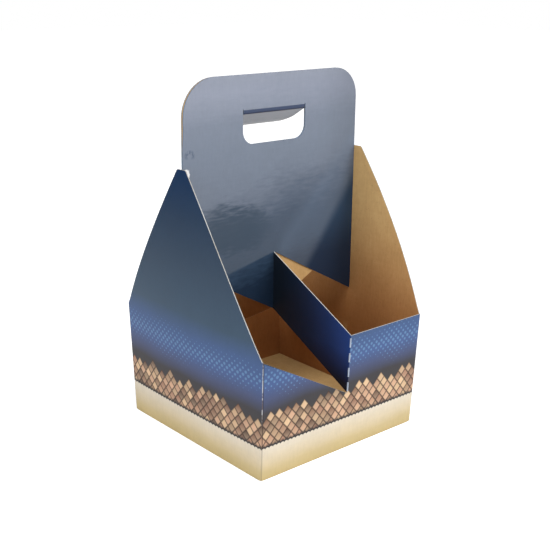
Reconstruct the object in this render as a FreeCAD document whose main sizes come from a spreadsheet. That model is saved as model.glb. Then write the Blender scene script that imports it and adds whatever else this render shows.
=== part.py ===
# Cardboard cup carrier: a folded four-cell box with gabled ends, two slanting straps and a two-layer handle.
# Millimetres. The box stands on z = 0 around the Z axis: front wall at -Y, left gable at -X, right at +X.
# The back half of the walls, straps and handle is the front half turned by 180 degrees about Z.
import os

import FreeCAD
import Part
import Sketcher

doc = FreeCAD.newDocument("cup_carrier")

# Driving sizes, each written once
DRIVING = [
    ("board", "1.0"),  # thickness of the folded board
    ("fold_radius", "1.2"),  # outside of the upright corner folds
    ("box_width", "200"),  # outside, along X, at the floor
    ("box_depth", "204"),  # outside, along Y, at the floor
    ("wall_height", "118"),  # front and back walls, full height
    ("front_flare", "5"),  # how far the front wall leans out at its top
    ("end_flare", "2.4"),  # how far each upright corner leans out sideways at wall height
    ("gable_bow", "9"),  # how far a gable's middle stands outside the floor's width
    ("bow_level", "126"),  # height at which the gables reach their full bow
    ("gable_twist", "0.07"),  # sideways shift of a gable's top for each millimetre of depth
    ("peak_height", "272"),
    ("peak_width", "11.6"),
    ("left_peak_offset", "0.5"),  # how far the left gable's flat top lies back from the handle's plane
    ("right_peak_offset", "4.2"),  # how far the right gable's flat top lies forward of it
    ("peak_radius", "2.5"),  # corners of the gables' flat tops
    ("slope_bow", "3"),  # how far the right gable's warped slopes bow out, halfway up
    ("corner_flat", "1.3"),  # level end of a gable at each upright corner, before its slope starts
    ("cut_height", "59"),  # where the slanting front cut meets the middle fold
    ("strap_rise", "59"),  # climb of a strap from its wall to the handle
    ("hinge_shift", "5"),  # how far the middle fold lies beside the middle of the wall
    ("handle_height", "352"),
    ("handle_radius", "29"),
    ("hole_width", "78"),
    ("hole_height", "29"),
    ("hole_below_top", "36"),
    ("hole_radius", "13"),
    ("flap_angle", "59"),  # how far the finger flap is pushed back from hanging
    ("flap_gap", "0.5"),  # die-cut gap around the finger flap
    ("floor_rise", "13"),  # top of the floor above the standing edges
    ("rim_layers", "2"),  # layers of board in the folded rim around the floor
    ("lap_reach", "70"),  # how far the glued laps reach in under the floor
    ("spare", "40"),  # how far cutting shapes run past the board
]

# Sizes that follow from the driving ones
DERIVED = [
    ("base_x", "=box_width / 2"),
    ("base_y", "=box_depth / 2"),
    ("top_x", "=base_x + end_flare"),
    ("top_y", "=base_y + front_flare"),
    ("bow_x", "=base_x + gable_bow"),
    ("level_share", "=bow_level / wall_height"),
    ("level_x", "=base_x + end_flare * level_share"),
    ("level_y", "=base_y + front_flare * level_share"),
    ("peak_y", "=base_y + front_flare * peak_height / wall_height"),
    ("peak_near_x", "=bow_x - gable_twist * peak_y"),
    ("peak_far_x", "=bow_x + gable_twist * peak_y"),
    ("base_x_fold", "=base_x - fold_radius"),
    ("base_y_fold", "=base_y - fold_radius"),
    ("level_x_fold", "=level_x - fold_radius"),
    ("level_y_fold", "=level_y - fold_radius"),
    ("peak_near_x_fold", "=peak_near_x - fold_radius"),
    ("peak_far_x_fold", "=peak_far_x - fold_radius"),
    ("peak_y_fold", "=peak_y - fold_radius"),
    ("bow_rise", "=bow_x - level_x"),
    ("bow_radius", "=level_y_fold ^ 2 / (2 * bow_rise) + bow_rise / 2"),
    ("floor_share", "=floor_rise / wall_height"),
    ("pit_x", "=base_x + end_flare * floor_share - board"),
    ("pit_y", "=base_y + front_flare * floor_share - board"),
    ("pit_bow_rise", "=bow_rise * floor_rise / bow_level"),
    ("pit_bow_radius", "=pit_y ^ 2 / (2 * pit_bow_rise) + pit_bow_rise / 2"),
    ("wall_inner_x", "=top_x - board"),
    ("room_x", "=level_x - board"),
    ("room_y", "=level_y - board"),
    ("room_bow_radius", "=room_y ^ 2 / (2 * bow_rise) + bow_rise / 2"),
    ("room_peak_y", "=peak_y - board"),
    ("room_near_x", "=peak_near_x - board"),
    ("room_far_x", "=peak_far_x - board"),
    ("slope_foot_y", "=top_y - corner_flat"),
    ("slope_clear_y", "=peak_y + spare"),
    ("slope_clear_z", "=peak_height + spare"),
    ("left_front_peak_y", "=peak_width / 2 - left_peak_offset"),
    ("left_back_peak_y", "=peak_width / 2 + left_peak_offset"),
    ("right_front_peak_y", "=peak_width / 2 + right_peak_offset"),
    ("right_back_peak_y", "=peak_width / 2 - right_peak_offset"),
    ("front_chord", "=sqrt((peak_height - wall_height) ^ 2 + (slope_foot_y - right_front_peak_y) ^ 2)"),
    ("back_chord", "=sqrt((peak_height - wall_height) ^ 2 + (slope_foot_y - right_back_peak_y) ^ 2)"),
    ("front_slope_radius", "=front_chord ^ 2 / (8 * slope_bow) + slope_bow / 2"),
    ("back_slope_radius", "=back_chord ^ 2 / (8 * slope_bow) + slope_bow / 2"),
    ("wall_clear_z", "=wall_height + spare"),
    ("strap_foot_y", "=base_y + front_flare * cut_height / wall_height - board / 2"),
    ("strap_shoulder_y", "=top_y - board / 2"),
    ("strap_turn", "=atan(hinge_shift / strap_shoulder_y)"),
    ("strap_low", "=cut_height + strap_rise"),
    ("strap_high", "=wall_height + strap_rise"),
    ("handle_x", "=bow_x - board / 2"),
    ("half_hole", "=hole_width / 2"),
    ("hole_top", "=handle_height - hole_below_top"),
    ("hole_foot", "=hole_top - hole_height"),
    ("half_flap", "=half_hole - flap_gap"),
    ("flap_reach", "=hole_height - flap_gap"),
    ("flap_thickness", "=2 * board"),
    ("flap_radius", "=hole_radius - flap_gap"),
    ("flap_straight_x", "=half_flap - flap_radius"),
    ("flap_straight_y", "=flap_reach - flap_radius"),
    ("under_x", "=base_x - rim_layers * board"),
    ("under_y", "=base_y - rim_layers * board"),
    ("under_depth", "=floor_rise - board"),
    ("lap_low", "=floor_rise - 2 * board"),
    ("lap_x", "=under_x + board / 2"),
    ("lap_y", "=under_y + board / 2"),
    ("lap_end_x", "=under_x - lap_reach"),
    ("lap_end_y", "=under_y - lap_reach"),
]

sheet = doc.addObject("Spreadsheet::Sheet", "sizes")
for row, (alias, content) in enumerate(DRIVING + DERIVED, start=1):
    sheet.set("A%d" % row, content)
    sheet.setAlias("A%d" % row, alias)
doc.recompute()

body = doc.addObject("PartDesign::Body", "cup_carrier")
body.Label = "cup_carrier"


def size(term):
    """The value of a sheet entry, written as its name, with a minus sign in front, or 0."""
    if term == "0":
        return 0.0
    if term.startswith("-"):
        return -float(sheet.get(term[1:]))
    return float(sheet.get(term))


def bind(feature, property_name, alias):
    """Ties one size of a feature to the sheet."""
    feature.setExpression(property_name, "sizes." + alias)


def origin_plane(role):
    return next(item for item in body.Origin.OriginFeatures if item.Role == role)


def sketch_on(role, name, lift=None):
    """A sketch on one of the body's origin planes, lifted off it by a size of the sheet."""
    sketch = body.newObject("Sketcher::SketchObject", name)
    sketch.AttachmentSupport = [(origin_plane(role), "")]
    sketch.MapMode = "FlatFace"
    if lift:
        bind(sketch, "AttachmentOffset.Base.z", lift)
    return sketch


def hold(sketch, line, end, term, kind, axis):
    """Holds one coordinate of one end of a line at a size of the sheet."""
    if term == "0":
        sketch.addConstraint(Sketcher.Constraint("PointOnObject", line, end, axis))
        return
    if term.startswith("-"):
        ends = (line, end, -1, 1)
    else:
        ends = (-1, 1, line, end)
    index = sketch.addConstraint(Sketcher.Constraint(kind, *ends, abs(size(term))))
    bind(sketch, "Constraints[%d]" % index, term.lstrip("-"))


def outline(sketch, corners, bowed=None):
    """A closed outline through corners. bowed gives the radii of its arcs, with a minus for inward ones."""
    bowed = bowed or {}
    points = [FreeCAD.Vector(size(across), size(up), 0) for across, up in corners]
    count = len(points)
    for side in range(count):
        start = points[side]
        end = points[(side + 1) % count]
        if side in bowed:
            radius = abs(size(bowed[side]))
            chord = end.sub(start)
            rise = radius - (radius**2 - (chord.Length / 2) ** 2) ** 0.5
            if bowed[side].startswith("-"):
                rise = -rise
            outward = FreeCAD.Vector(chord.y, -chord.x, 0).normalize()
            middle = (start + end) * 0.5 + outward * rise
            sketch.addGeometry(Part.Arc(start, middle, end), False)
        else:
            sketch.addGeometry(Part.LineSegment(start, end), False)
    # A sketch keeps its arcs anticlockwise, so an inward arc starts at its second end
    first_ends = [2 if bowed.get(side, "").startswith("-") else 1 for side in range(count)]
    for side in range(count):
        following = (side + 1) % count
        ends = (side, 3 - first_ends[side], following, first_ends[following])
        sketch.addConstraint(Sketcher.Constraint("Coincident", *ends))
    for side, (across, up) in enumerate(corners):
        hold(sketch, side, first_ends[side], across, "DistanceX", -2)
        hold(sketch, side, first_ends[side], up, "DistanceY", -1)
    for side, radius_name in bowed.items():
        radius_name = radius_name.lstrip("-")
        index = sketch.addConstraint(Sketcher.Constraint("Radius", side, size(radius_name)))
        bind(sketch, "Constraints[%d]" % index, radius_name)


def pad(sketch, name, length):
    feature = body.newObject("PartDesign::Pad", name)
    feature.Profile = sketch
    bind(feature, "Length", length)
    return feature


def pocket_through(sketch, name):
    """A cut that runs right through the body on both sides of its sketch."""
    feature = body.newObject("PartDesign::Pocket", name)
    feature.Profile = sketch
    feature.SideType = "Symmetric"
    feature.Type = "ThroughAll"
    return feature


def turned_copy(name, originals):
    """The same features again for the back half, turned by 180 degrees about the body's Z axis."""
    pattern = body.newObject("PartDesign::PolarPattern", name)
    pattern.Originals = originals
    pattern.Axis = (origin_plane("Z_Axis"), [""])
    pattern.Angle = 360
    pattern.Occurrences = 2
    body.Tip = pattern
    doc.recompute()
    return pattern


def round_edges(name, radius_name, wanted):
    """Rounds the edges of the body that a test picks out by their two ends."""
    doc.recompute()
    base = body.Tip
    picked = []
    for index, edge in enumerate(base.Shape.Edges, start=1):
        ends = [vertex.Point for vertex in edge.Vertexes]
        if len(ends) == 2 and wanted(*ends):
            picked.append("Edge%d" % index)
    fillet = body.newObject("PartDesign::Fillet", name)
    fillet.Base = (base, picked)
    bind(fillet, "Radius", radius_name)
    doc.recompute()
    return fillet


def outer_section(name, near_x, far_x, deep_y, lift=None, bow=None):
    """One level of the outside: straight front and back, ends that may be bowed, rounded upright folds."""
    sketch = sketch_on("XY_Plane", name, lift)
    corners = [
        ("-" + near_x + "_fold", "-" + deep_y),
        (far_x + "_fold", "-" + deep_y),
        (far_x, "-" + deep_y + "_fold"),
        (near_x, deep_y + "_fold"),
        (near_x + "_fold", deep_y),
        ("-" + far_x + "_fold", deep_y),
        ("-" + far_x, deep_y + "_fold"),
        ("-" + near_x, "-" + deep_y + "_fold"),
    ]
    arcs = {side: "fold_radius" for side in (1, 3, 5, 7)}
    if bow:
        arcs.update({2: bow, 6: bow})
    outline(sketch, corners, arcs)
    return sketch


def inner_section(name, near_x, far_x, deep_y, lift, bow=None):
    """One level of the room inside the walls, with the same bow as the outside."""
    sketch = sketch_on("XY_Plane", name, lift)
    corners = [
        ("-" + near_x, "-" + deep_y),
        (far_x, "-" + deep_y),
        (near_x, deep_y),
        ("-" + far_x, deep_y),
    ]
    outline(sketch, corners, {1: bow, 3: bow} if bow else None)
    return sketch


# Outer form of walls and gables: straight at the floor, bowed from wall height up
outer_levels = [
    outer_section("outer_base", "base_x", "base_x", "base_y"),
    outer_section("outer_bow", "level_x", "level_x", "level_y", "bow_level", "bow_radius"),
    outer_section("outer_peak", "peak_near_x", "peak_far_x", "peak_y", "peak_height"),
]
outer_form = body.newObject("PartDesign::AdditiveLoft", "outer_form")
outer_form.Profile = outer_levels[0]
outer_form.Sections = outer_levels[1:]
outer_form.Ruled = True


# Room inside the walls, down to the raised floor
room_levels = [
    inner_section("room_floor", "pit_x", "pit_x", "pit_y", "floor_rise", "pit_bow_radius"),
    inner_section("room_bow", "room_x", "room_x", "room_y", "bow_level", "room_bow_radius"),
    inner_section("room_peak", "room_near_x", "room_far_x", "room_peak_y", "peak_height"),
]
room = body.newObject("PartDesign::SubtractiveLoft", "room")
room.Profile = room_levels[0]
room.Sections = room_levels[1:]
room.Ruled = True


def slope(name, peak_y, bow=None):
    """One slope of a gable, which also trims its half of the front or back wall to the wall's height."""
    sketch = sketch_on("YZ_Plane", name + "_outline")
    if "front" in name:
        corners = [
            ("-slope_foot_y", "wall_height"),
            ("-" + peak_y, "peak_height"),
            ("-" + peak_y, "slope_clear_z"),
            ("-slope_clear_y", "slope_clear_z"),
            ("-slope_clear_y", "wall_height"),
        ]
        slanting_side = 0
    else:
        corners = [
            ("slope_foot_y", "wall_height"),
            ("slope_clear_y", "wall_height"),
            ("slope_clear_y", "slope_clear_z"),
            (peak_y, "slope_clear_z"),
            (peak_y, "peak_height"),
        ]
        slanting_side = 4
    outline(sketch, corners, {slanting_side: "-" + bow} if bow else None)
    feature = body.newObject("PartDesign::Pocket", name)
    feature.Profile = sketch
    feature.Type = "ThroughAll"
    feature.Reversed = "right" in name
    return feature


slope("left_front_slope", "left_front_peak_y")
slope("left_back_slope", "left_back_peak_y")
slope("right_front_slope", "right_front_peak_y", "front_slope_radius")
slope("right_back_slope", "right_back_peak_y", "back_slope_radius")


def is_peak_corner(first, second):
    """True for an edge across the board at either end of a gable's flat top."""
    at_top = all(abs(point.z - size("peak_height")) < size("board") / 2 for point in (first, second))
    return at_top and abs(first.y - second.y) < size("board") / 2


round_edges("peak_corners", "peak_radius", is_peak_corner)

# Slanting cut in the left half of the front wall, from the corner down to the middle fold
cut_sketch = sketch_on("XZ_Plane", "front_cut_outline")
outline(
    cut_sketch,
    [
        ("-wall_inner_x", "wall_height"),
        ("hinge_shift", "cut_height"),
        ("hinge_shift", "wall_clear_z"),
        ("-wall_inner_x", "wall_clear_z"),
    ],
)
front_cut = body.newObject("PartDesign::Pocket", "front_cut")
front_cut.Profile = cut_sketch
front_cut.Reversed = True
bind(front_cut, "Length", "peak_y")

# Recess under the floor, inside the folded rim
recess_sketch = sketch_on("XY_Plane", "recess_outline")
outline(
    recess_sketch,
    [("-under_x", "-under_y"), ("under_x", "-under_y"), ("under_x", "under_y"), ("-under_x", "under_y")],
)
recess = body.newObject("PartDesign::Pocket", "floor_recess")
recess.Profile = recess_sketch
recess.Reversed = True
bind(recess, "Length", "under_depth")

# Glued lap of the folding bottom, in from the front wall's lower edge
lap_sketch = sketch_on("XY_Plane", "bottom_lap_outline", "lap_low")
outline(
    lap_sketch,
    [("-lap_x", "-lap_y"), ("lap_x", "-lap_y"), ("lap_end_x", "-lap_end_y"), ("-lap_end_x", "-lap_end_y")],
)
bottom_lap = pad(lap_sketch, "bottom_lap", "board")

# Strap: folded in at the middle of the front wall, climbing to the handle
strap_sketch = sketch_on("YZ_Plane", "strap_outline")
strap_sketch.AttachmentOffset = FreeCAD.Placement(
    FreeCAD.Vector(0, 0, 0),
    FreeCAD.Rotation(FreeCAD.Vector(0, 1, 0), size("strap_turn")),
)
bind(strap_sketch, "AttachmentOffset.Rotation.Angle", "strap_turn")
outline(
    strap_sketch,
    [
        ("-strap_foot_y", "cut_height"),
        ("0", "strap_low"),
        ("0", "strap_high"),
        ("-strap_shoulder_y", "wall_height"),
    ],
)
strap = pad(strap_sketch, "strap", "board")

# Front layer of the handle: its left half hangs lowest at the strap, its right half at the gable
layer_sketch = sketch_on("XZ_Plane", "handle_layer_outline")
outline(
    layer_sketch,
    [
        ("-handle_x", "strap_high"),
        ("0", "strap_low"),
        ("board", "strap_low"),
        ("board", "strap_high"),
        ("handle_x", "strap_low"),
        ("handle_x", "handle_height"),
        ("-handle_x", "handle_height"),
    ],
)
handle_layer = pad(layer_sketch, "handle_layer", "board")

turned_copy("back_half", [front_cut, bottom_lap, strap, handle_layer])


def runs_across_board(first, second, side, height):
    """True for an edge along Y at a given distance from the middle and a given height."""
    near = size("board") / 2
    at_side = all(abs(abs(point.x) - size(side)) < near for point in (first, second))
    at_height = all(abs(point.z - size(height)) < near for point in (first, second))
    return at_side and at_height and abs(first.x - second.x) < near


def is_handle_corner(first, second):
    return runs_across_board(first, second, "handle_x", "handle_height")


round_edges("handle_corners", "handle_radius", is_handle_corner)

# Hand hole through both layers
hole_sketch = sketch_on("XZ_Plane", "hand_hole_outline")
outline(
    hole_sketch,
    [
        ("-half_hole", "hole_foot"),
        ("half_hole", "hole_foot"),
        ("half_hole", "hole_top"),
        ("-half_hole", "hole_top"),
    ],
)
pocket_through(hole_sketch, "hand_hole")


def is_hole_corner(first, second):
    return runs_across_board(first, second, "half_hole", "hole_foot")


round_edges("hand_hole_corners", "hole_radius", is_hole_corner)

# Finger flap: the two layers cut free on three sides and pushed back at the crease above the hole
flap_sketch = sketch_on("XZ_Plane", "finger_flap_outline", "board")
flap_sketch.AttachmentOffset = FreeCAD.Placement(
    FreeCAD.Vector(0, size("hole_top"), size("board")),
    FreeCAD.Rotation(FreeCAD.Vector(1, 0, 0), size("flap_angle")),
)
bind(flap_sketch, "AttachmentOffset.Base.y", "hole_top")
bind(flap_sketch, "AttachmentOffset.Rotation.Angle", "flap_angle")
outline(
    flap_sketch,
    [
        ("-flap_straight_x", "-flap_reach"),
        ("flap_straight_x", "-flap_reach"),
        ("half_flap", "-flap_straight_y"),
        ("half_flap", "0"),
        ("-half_flap", "0"),
        ("-half_flap", "-flap_straight_y"),
    ],
    {1: "flap_radius", 5: "flap_radius"},
)
finger_flap = pad(flap_sketch, "finger_flap", "flap_thickness")
finger_flap.Reversed = True

doc.recompute()

for item in doc.Objects:
    if "Invalid" in item.State or "Error" in item.State:
        raise RuntimeError("%s is %s" % (item.Name, item.State))
if not body.Shape.isValid() or len(body.Shape.Solids) != 1:
    raise RuntimeError("%s is not one valid solid" % body.Label)

os.makedirs("parts", exist_ok=True)
body.Shape.exportStep("parts/%s.step" % body.Label)
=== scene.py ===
import math

import bmesh
import bpy
from mathutils import Matrix, Vector


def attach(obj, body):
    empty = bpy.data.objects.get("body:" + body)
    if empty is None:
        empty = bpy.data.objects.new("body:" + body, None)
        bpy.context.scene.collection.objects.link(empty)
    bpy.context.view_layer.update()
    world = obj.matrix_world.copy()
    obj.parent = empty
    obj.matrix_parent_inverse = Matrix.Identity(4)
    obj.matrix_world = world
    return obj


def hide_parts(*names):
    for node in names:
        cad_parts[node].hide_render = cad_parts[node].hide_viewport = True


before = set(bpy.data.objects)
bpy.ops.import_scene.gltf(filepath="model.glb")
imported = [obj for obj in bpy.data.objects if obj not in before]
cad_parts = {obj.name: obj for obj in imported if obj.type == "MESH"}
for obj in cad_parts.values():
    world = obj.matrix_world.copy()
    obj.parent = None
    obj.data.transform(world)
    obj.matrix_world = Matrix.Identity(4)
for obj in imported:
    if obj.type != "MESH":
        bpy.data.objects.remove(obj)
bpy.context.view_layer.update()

# Sizes in millimetres, the same as the part's source
MM = 0.001
PLY = 1.0  # the board's thickness in the solid
BOARD = 0.9  # the board's thickness here, a little less so that glued plies don't touch
HALF_WIDTH = 100.0
HALF_DEPTH = 102.0
WALL_TOP = 118.0
END_FLARE = 2.4
FRONT_FLARE = 5.0
BOW = 9.0
BOW_LEVEL = 126.0
TWIST = 0.07  # sideways shift of a gable's top for each millimetre of depth
PEAK = 272.0
LEFT_FLAT = (-5.3, 6.3)  # front and back end of the left gable's flat top
RIGHT_FLAT = (-10.0, 1.6)
PEAK_ROUND = 2.5
SLOPE_BOW = 3.0  # how far the right gable's slopes bow out
CORNER_FLAT = 1.3
CUT_FOOT = 59.0
HINGE_X = 5.0
STRAP_RISE = 59.0
HANDLE_X = 108.2
HANDLE_TOP = 352.0
HANDLE_ROUND = 29.0
HOLE_HALF = 39.0
HOLE_FOOT = 287.0
HOLE_TOP = 316.0
HOLE_ROUND = 13.0
FLAP_TURN = math.radians(59)
FLAP_REACH = 28.5
FLOOR_TOP = 13.0
FOLD_ROUND = 1.2
HINGE_ROUND = 0.6
RIM_INSET = 2.0  # how far in the folded rim's second layer stands
RIM_TOP = 12.0
CORNER_LIFT = 0.6  # how far the bottom fold's cut ends stand off the ground at a corner
CORNER_LIFT_REACH = 6.0
FRONT_MIDDLE = 1.5  # the front wall's middle on the map of the blank


def mix(a, b, share):
    return a + (b - a) * share


def half_width(z):
    return HALF_WIDTH + END_FLARE * z / WALL_TOP


def half_depth(z):
    return HALF_DEPTH + FRONT_FLARE * z / WALL_TOP


def gable_reach(t, z):
    """How far the right gable's outside stands from the middle plane, at t from -1 (front) to 1."""
    corner = half_width(BOW_LEVEL)
    level = corner + (HALF_WIDTH + BOW - corner) * (1 - t * t)
    if z <= BOW_LEVEL:
        return mix(HALF_WIDTH, level, z / BOW_LEVEL)
    top = HALF_WIDTH + BOW - TWIST * t * half_depth(PEAK)
    return mix(level, top, (z - BOW_LEVEL) / (PEAK - BOW_LEVEL))


# Mesh helpers


def new_piece(name, mesh_data, materials):
    """Makes a piece of the scene from a mesh that was built in millimetres."""
    bmesh.ops.scale(mesh_data, vec=(MM, MM, MM), verts=mesh_data.verts[:])
    mesh = bpy.data.meshes.new(name)
    mesh_data.to_mesh(mesh)
    mesh_data.free()
    piece = bpy.data.objects.new(name, mesh)
    bpy.context.scene.collection.objects.link(piece)
    for material in materials:
        mesh.materials.append(material)
    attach(piece, "root")
    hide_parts("cup_carrier")


def blank_layer(mesh_data):
    """The map that holds each spot's place on the flat blank: panels across, metres up."""
    layers = mesh_data.loops.layers.uv
    return layers.get("blank") or layers.new("blank")


def cut(mesh_data, faces, point, normal):
    """Cuts faces along a plane."""
    faces = [face for face in faces if face.is_valid]
    geometry = set(faces)
    for face in faces:
        geometry.update(face.edges)
        geometry.update(face.verts)
    bmesh.ops.bisect_plane(
        mesh_data,
        geom=list(geometry),
        dist=1e-5,
        plane_co=point,
        plane_no=normal,
    )


SHARP_TURN = math.radians(38)  # folds sharper than this are shaded as edges


def give_thickness(mesh_data, thickness):
    """Turns an outside sheet into a board: material 0 outside, 1 inside, 2 on the cut edges."""
    outside = mesh_data.faces[:]
    result = bmesh.ops.solidify(mesh_data, geom=outside, thickness=thickness)
    inside = {item for item in result["geom"] if isinstance(item, bmesh.types.BMFace)}
    kept = set(outside)
    for face in mesh_data.faces:
        if face in kept:
            face.material_index = 0
        elif face in inside:
            face.material_index = 1
        else:
            face.material_index = 2
    mesh_data.normal_update()
    for face in mesh_data.faces:
        face.smooth = True
    for edge in mesh_data.edges:
        edge.smooth = edge.calc_face_angle(0.0) < SHARP_TURN


LOWEST_ROW = 3.0
RIM_STEPS = 6
WALL_STEPS = 20
GABLE_STEPS = 26


def lay_rows(kind):
    """Rows up a panel as (inset, height): inner ply of the rim, rounded bottom fold, wall, gable."""
    rows = [(RIM_INSET, RIM_TOP), (RIM_INSET, RIM_TOP / 2)]
    radius = RIM_INSET / 2
    for step in range(RIM_STEPS + 1):
        turn = math.pi * (1 - step / RIM_STEPS)
        rows.append((radius * (1 - math.cos(turn)), radius * (1 - math.sin(turn))))
    rows.append((0.0, LOWEST_ROW))
    rows += [(0.0, WALL_TOP * step / WALL_STEPS) for step in range(1, WALL_STEPS + 1)]
    if kind == "gable":
        for step in range(1, GABLE_STEPS + 1):
            rows.append((0.0, mix(WALL_TOP, PEAK, step / GABLE_STEPS)))
    return rows


CORNER_STEPS = [0.0, 0.6, 1.2, 2.6, 4.6, 7.2, 11.0]
INNER_STEPS = 30


def lay_columns():
    """Places across a panel from -1 to 1, closer together at its folds."""
    edge = [step / HALF_WIDTH - 1 for step in CORNER_STEPS]
    reach = -edge[-1]
    middle = [mix(-reach, reach, step / INNER_STEPS) for step in range(1, INNER_STEPS)]
    return edge + middle + [-place for place in reversed(edge)]


def corner_rise(t, z):
    """The bottom fold's ends are cut round, so the board rises a little at each corner."""
    from_corner = (1 - abs(t)) * HALF_WIDTH
    if from_corner >= CORNER_LIFT_REACH or z >= RIM_TOP:
        return 0.0
    return CORNER_LIFT * (1 - from_corner / CORNER_LIFT_REACH) ** 2 * (1 - z / RIM_TOP)


def fold_corner(t, half):
    """How far in from a panel's end a place lies, and how far its rounded fold pulls it off the panel."""
    from_corner = (1 - abs(t)) * half
    if from_corner >= FOLD_ROUND:
        return from_corner, 0.0
    share = 0.5 + 0.5 * from_corner / FOLD_ROUND
    return share**2 * FOLD_ROUND, (1 - share) ** 2 * FOLD_ROUND


def wall_place(t, inset, z):
    """Where a spot of the front wall lies, at t from -1 (left) to 1, inset from the outside and z up."""
    half = half_width(z) - inset
    along, off = fold_corner(t, half)
    x = math.copysign(half - along, t)
    return Vector((x, -(half_depth(z) - inset - off), z + corner_rise(t, z)))


def gable_place(t, inset, z):
    """Where a spot of the right gable lies, in the same way."""
    half = half_depth(z) - inset
    along, off = fold_corner(t, half)
    reach = gable_reach(t, z) - inset - off
    return Vector((reach, math.copysign(half - along, t), z + corner_rise(t, z)))


def add_panel(mesh_data, kind, place, index):
    """One panel of the folded blank, as a grid whose columns and rows are moved to their places."""
    columns = lay_columns()
    rows = lay_rows(kind)
    uv = blank_layer(mesh_data)
    made = bmesh.ops.create_grid(
        mesh_data, x_segments=len(columns) - 1, y_segments=len(rows) - 1, size=1.0
    )
    verts = made["verts"]
    spots = {}
    for vert in verts:
        column = round((vert.co.x + 1) / 2 * (len(columns) - 1))
        row = round((vert.co.y + 1) / 2 * (len(rows) - 1))
        t = columns[column]
        inset, z = rows[row]
        vert.co = place(t, inset, z)
        up = z if inset == 0 else -inset - z
        spots[vert] = (index + (t + 1) / 2, up * MM)
    for face in {face for vert in verts for face in vert.link_faces}:
        for loop in face.loops:
            loop[uv].uv = spots[loop.vert]


SLOPE_CHORDS = 10
PEAK_CUTS = 4


def slope_planes(end, sign, bow):
    """Planes that cut one slope of a gable, as points and normals: its bow's chords, its peak's round."""
    foot = Vector((0, sign * (half_depth(WALL_TOP) - CORNER_FLAT), WALL_TOP))
    peak = Vector((0, end, PEAK))
    run = peak - foot
    outward = Vector((0, sign * run.z, -sign * run.y)).normalized()
    steps = SLOPE_CHORDS if bow else 1
    spots = []
    for step in range(steps + 1):
        share = step / steps
        spots.append(foot + run * share + outward * (4 * bow * share * (1 - share)))
    planes = []
    for start, following in zip(spots, spots[1:]):
        chord = following - start
        planes.append((start, Vector((0, sign * chord.z, -sign * chord.y)).normalized()))
    last = planes[-1][1]
    up = Vector((0, 0, 1))
    middle = peak - (last + up) * (PEAK_ROUND / (1 + last.dot(up)))
    for step in range(1, PEAK_CUTS):
        normal = last.lerp(up, step / PEAK_CUTS).normalized()
        planes.append((middle + normal * PEAK_ROUND, normal))
    return planes


NEAR = 0.001
WELD = 0.02
HINGE_ROW = CUT_FOOT + 1.5  # height of an extra row that keeps the hinge's foot small
HINGE_SLACK = 0.05
ROUND_FOOT = CUT_FOOT + 1.0
SHARP_FOLD = math.radians(60)
STRAP_STEPS = 24
STRAP_END = -1.05  # where a strap's outside ends, just in front of the handle
STRAP_PRINT = 0.94  # how long a strap's print is, as a share of the board's own run


def faces_since(mesh_data, before):
    """The faces that aren't in a set taken earlier."""
    return [face for face in mesh_data.faces if face not in before]


def trim_wall(mesh_data, before):
    """Cuts off the new wall's board above the slant, and returns the hinge's spots by height."""
    cut(mesh_data, faces_since(mesh_data, before), (HINGE_X, 0, 0), (1, 0, 0))
    wall = faces_since(mesh_data, before)
    left = [face for face in wall if face.calc_center_median().x < HINGE_X]
    foot = Vector((HINGE_X, 0, CUT_FOOT))
    slope = Vector((WALL_TOP - CUT_FOOT, 0, HINGE_X + half_width(WALL_TOP)))
    cut(mesh_data, left, foot, slope)
    above = []
    for face in faces_since(mesh_data, before):
        middle = face.calc_center_median()
        if middle.x < HINGE_X and (middle - foot).dot(slope) > 0:
            above.append(face)
    bmesh.ops.delete(mesh_data, geom=above, context="FACES")
    cut(mesh_data, faces_since(mesh_data, before), (0, 0, HINGE_ROW), (0, 0, 1))
    hinge = {}
    for face in faces_since(mesh_data, before):
        for vert in face.verts:
            if abs(vert.co.x - HINGE_X) < NEAR and vert.co.z > CUT_FOOT - NEAR:
                hinge[round(vert.co.z, 3)] = vert.co.copy()
    return hinge


def trim_gable(mesh_data, before, half_turn):
    """Cuts the new gable's slopes. The half that will be turned is the left one."""
    if half_turn:
        front_end, back_end = -LEFT_FLAT[1], -LEFT_FLAT[0]
    else:
        front_end, back_end = RIGHT_FLAT
    bow = 0.0 if half_turn else SLOPE_BOW
    planes = slope_planes(front_end, -1, bow) + slope_planes(back_end, 1, bow)
    for point, normal in planes:
        gable = faces_since(mesh_data, before)
        upper = [face for face in gable if face.calc_center_median().z > WALL_TOP]
        cut(mesh_data, upper, point, normal)
    beyond = []
    for face in faces_since(mesh_data, before):
        middle = face.calc_center_median()
        past = any((middle - point).dot(normal) > 0 for point, normal in planes)
        if past and middle.z >= WALL_TOP:
            beyond.append(face)
    bmesh.ops.delete(mesh_data, geom=beyond, context="FACES")


def add_strap(mesh_data, hinge, half_turn):
    """The board folded in at the hinge, which climbs from there to the handle."""
    uv = blank_layer(mesh_data)
    spots = {}
    rows = []
    for level in sorted(hinge):
        start = hinge[level]
        hinge_u = FRONT_MIDDLE + 2 * half_turn + HINGE_X / (2 * half_width(start.z))
        row = []
        for step in range(STRAP_STEPS + 1):
            along = step / STRAP_STEPS
            place = start.lerp(Vector((0, STRAP_END, start.z)), along)
            place.z += STRAP_RISE * along
            vert = mesh_data.verts.new(place)
            run = half_depth(WALL_TOP) * along * STRAP_PRINT / (2 * HALF_WIDTH)
            spots[vert] = (hinge_u - run, place.z * MM)
            row.append(vert)
        rows.append(row)
    for low, high in zip(rows, rows[1:]):
        for step in range(STRAP_STEPS):
            corners = (low[step], low[step + 1], high[step + 1], high[step])
            face = mesh_data.faces.new(corners)
            for loop in face.loops:
                loop[uv].uv = spots[loop.vert]


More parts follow.
